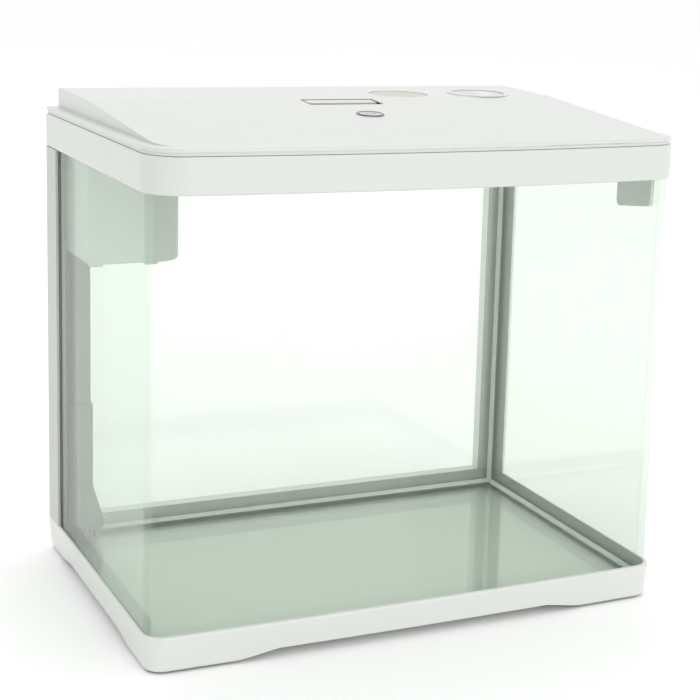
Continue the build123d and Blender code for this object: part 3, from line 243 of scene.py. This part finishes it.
# ---- glass, silicone, steel and light chips ----------------------------------------------
GLASS_MIRROR = (0.93, 0.96, 0.93)
GLASS_CLEAR = (0.992, 0.996, 0.991)
GLASS_ABSORB = (0.36, 0.62, 0.37)
GLASS_DENSITY = 15.0
GLASS_FACING = 0.04                     # mirror share seen square on
GLASS_GRAZING = 0.93                    # what the share gains edge on
GLASS_STEEPNESS = 5.0
SMEAR_SCALE, SMEAR_LOW, SMEAR_HIGH = 14.0, 0.004, 0.03
COVER_CLEAR = (0.97, 0.98, 0.98)
COVER_SHADE = (0.95, 0.96, 0.96)
COVER_IOR = 1.49
SILICONE_CLEAR = (0.80, 0.86, 0.82)
SILICONE_IOR = 1.41
STEEL_GREY = (0.60, 0.60, 0.60)
STEEL_BRUSHED = (0.05, 1.0, 1.0)
LED_YELLOW = (0.80, 0.74, 0.35)


def tank_glass():
    """Float glass: straight-through view, mirror share by angle, green from the depth of glass."""
    mat, tree, shader = principled("tank_glass", GLASS_MIRROR, 0.0, Metallic=1.0)
    rough_patches(tree, shader, SMEAR_SCALE, SMEAR_LOW, SMEAR_HIGH)
    tilt = tree.nodes.new("ShaderNodeLayerWeight")
    tilt.inputs["Blend"].default_value = 0.5
    steep = maths(tree, "POWER", tilt.outputs["Facing"], GLASS_STEEPNESS)
    share = maths(tree, "MULTIPLY_ADD", steep.outputs[0], GLASS_GRAZING, GLASS_FACING)
    clear = tree.nodes.new("ShaderNodeBsdfTransparent")
    clear.inputs["Color"].default_value = (*GLASS_CLEAR, 1.0)
    pane = tree.nodes.new("ShaderNodeMixShader")
    tree.links.new(share.outputs[0], pane.inputs[0])
    tree.links.new(clear.outputs[0], pane.inputs[1])
    tree.links.new(shader.outputs[0], pane.inputs[2])
    output = tree.nodes["Material Output"]
    tree.links.new(pane.outputs[0], output.inputs["Surface"])
    absorb = tree.nodes.new("ShaderNodeVolumeAbsorption")
    absorb.inputs["Color"].default_value = (*GLASS_ABSORB, 1.0)
    absorb.inputs["Density"].default_value = GLASS_DENSITY
    tree.links.new(absorb.outputs[0], output.inputs["Volume"])
    return mat


def lamp_cover():
    """Clear moulded cover that lets lamp light straight through, slightly tinted."""
    mat, tree, shader = principled(
        "clear_cover", COVER_CLEAR, 0.05, Transmission_Weight=1.0, IOR=COVER_IOR)
    rough_patches(tree, shader, 40.0, 0.03, 0.09)
    path = tree.nodes.new("ShaderNodeLightPath")
    clear = tree.nodes.new("ShaderNodeBsdfTransparent")
    clear.inputs["Color"].default_value = (*COVER_SHADE, 1.0)
    either = tree.nodes.new("ShaderNodeMixShader")
    tree.links.new(path.outputs["Is Shadow Ray"], either.inputs[0])
    tree.links.new(shader.outputs[0], either.inputs[1])
    tree.links.new(clear.outputs[0], either.inputs[2])
    tree.links.new(either.outputs[0], tree.nodes["Material Output"].inputs["Surface"])
    return mat


def silicone():
    """Clear sealant with a faintly lumpy skin."""
    mat, tree, shader = principled(
        "silicone", SILICONE_CLEAR, 0.22, Transmission_Weight=0.35, IOR=SILICONE_IOR)
    mottle(tree, shader, SILICONE_CLEAR, 60.0, 0.05)
    bump(tree, shader, object_noise(tree, 120.0, 2.0), 0.3 * MM)
    return mat


def brushed_steel():
    """Stainless steel with fine drawn lines."""
    mat, tree, shader = principled("steel", STEEL_GREY, 0.28, Metallic=1.0)
    bump(tree, shader, object_noise(tree, 900.0, 2.0, STEEL_BRUSHED), 0.02 * MM)
    mottle(tree, shader, STEEL_GREY, 200.0, 0.06)
    return mat


def led_yellow():
    """Phosphor of the light chips, unlit."""
    mat, tree, shader = principled("led", LED_YELLOW, 0.2)
    mottle(tree, shader, LED_YELLOW, 300.0, 0.1)
    return mat


# ---- which CAD node wears which material ---------------------------------------------------
WORN_BY = {
    "abs": ("top_rim", "rim_bracket", "lid_shell",
            "feeding_ring", "feeding_cap", "feeding_flap", "led_housing"),
    "base": ("base_tray",),
    "post": ("corner_post_right",),
    "post_left": ("corner_post_left",),
    "well": ("feeding_scoop",),
    "cap": ("blank_cap",),
    "box": ("filter_box", "media_grid", "drip_tray"),
    "grey": ("riser_duct", "riser_sleeve", "pump_housing", "pump_cover"),
    "glass": ("front_side_pane", "back_pane", "bottom_pane"),
    "rubber": ("foot_pads", "cable_grommet"),
    "foam": ("foam_mat",),
    "silicone": ("silicone_seams",),
    "steel": ("hinge_pins", "lamp_screws"),
    "dark": ("badge_ring",),
    "disc": ("badge_disc",),
    "board": ("led_board",),
    "led": ("led_chips",),
    "cover": ("led_cover",),
    "ceramic": ("bio_rings",),
    "sponge": ("filter_sponge",),
    "resin": ("pump_stator",),
    "shaft": ("impeller_shaft",),
    "magnet": ("impeller_magnet",),
    "impeller": ("impeller",),
}


def make_materials():
    """Every material, by its key in WORN_BY."""
    made = {
        key: moulded(name, colour, roughness, **settings)
        for key, (name, colour, roughness, settings) in MOULDINGS.items()
    }
    made["glass"] = tank_glass()
    made["cover"] = lamp_cover()
    made["silicone"] = silicone()
    made["steel"] = brushed_steel()
    made["led"] = led_yellow()
    return made


def dress_nodes():
    """Gives each carried-over CAD node its material."""
    made = make_materials()
    for key, wearers in WORN_BY.items():
        for name in wearers:
            if not nodes[name].material_slots:
                nodes[name].data.materials.append(made[key])
            for slot in nodes[name].material_slots:
                slot.material = made[key]


# ---- small changes of shape ------------------------------------------------------------
FOAM_GAP = 0.15 * MM
SOFT_EDGE = 0.3 * MM
SOFT_EDGE_STEPS = 2
SHARP_ABOVE = math.radians(40)
SOFTENED = (
    "corner_post_left", "corner_post_right", "rim_bracket", "feeding_scoop", "feeding_flap",
    "riser_sleeve", "pump_housing", "foot_pads", "badge_ring", "led_housing",
)


def shrink_foam():
    """Keeps a hair of air between the foam mat and the glass above it."""
    thin = nodes["foam_mat"].modifiers.new("thin", "DISPLACE")
    thin.strength = -FOAM_GAP
    thin.mid_level = 0.0


def soften_edges():
    """Tiny rounded edges on the mouldings whose corners would look knife sharp."""
    for name in SOFTENED:
        edge = nodes[name].modifiers.new("soft_edge", "BEVEL")
        edge.width = SOFT_EDGE
        edge.segments = SOFT_EDGE_STEPS
        edge.limit_method = "ANGLE"
        edge.angle_limit = SHARP_ABOVE


make_camera()
make_studio()
dress_nodes()
shrink_foam()
soften_edges()
